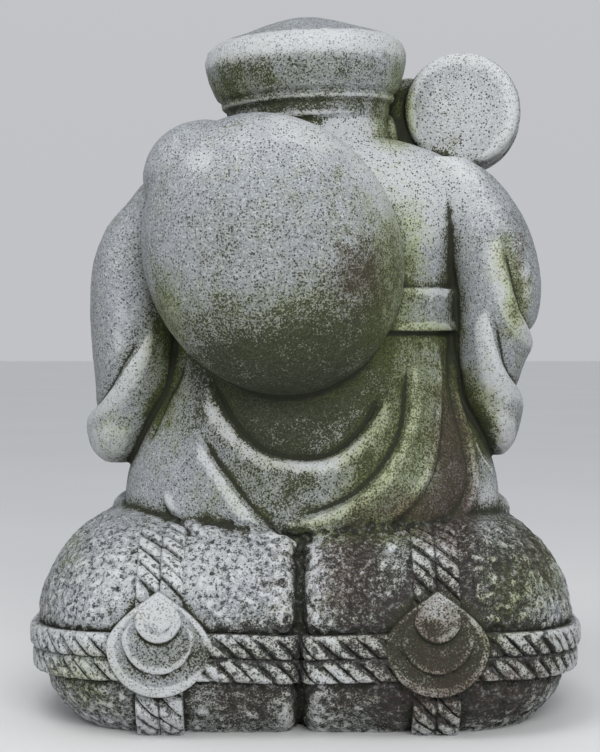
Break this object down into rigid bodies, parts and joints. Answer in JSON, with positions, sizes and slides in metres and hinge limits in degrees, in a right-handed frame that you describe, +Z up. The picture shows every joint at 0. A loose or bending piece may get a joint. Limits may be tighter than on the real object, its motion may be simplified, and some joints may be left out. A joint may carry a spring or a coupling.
{
  "type": "stone daikoku statue",
  "caption": "Squat carved granite figure in a flat cap, with a sack on its back and a mallet in its hand, standing on two roped rice bales; free-standing garden ornament.",
  "frame": {"origin": "on the ground, under the middle of the footprint", "axes": "+Z up; the figure faces -Y, so its back and the sack are towards +Y; +X is towards the figure's own left hand, the mallet is towards -X"},
  "size_m": [0.3546, 0.2736, 0.4525],
  "materials": {
    "granite": "hammer-dressed grey granite, weathered, with moss, algae and dark lichen stains"
  },
  "bodies": {
    "root": {"statue": "granite"}
  },
  "joints": []
}
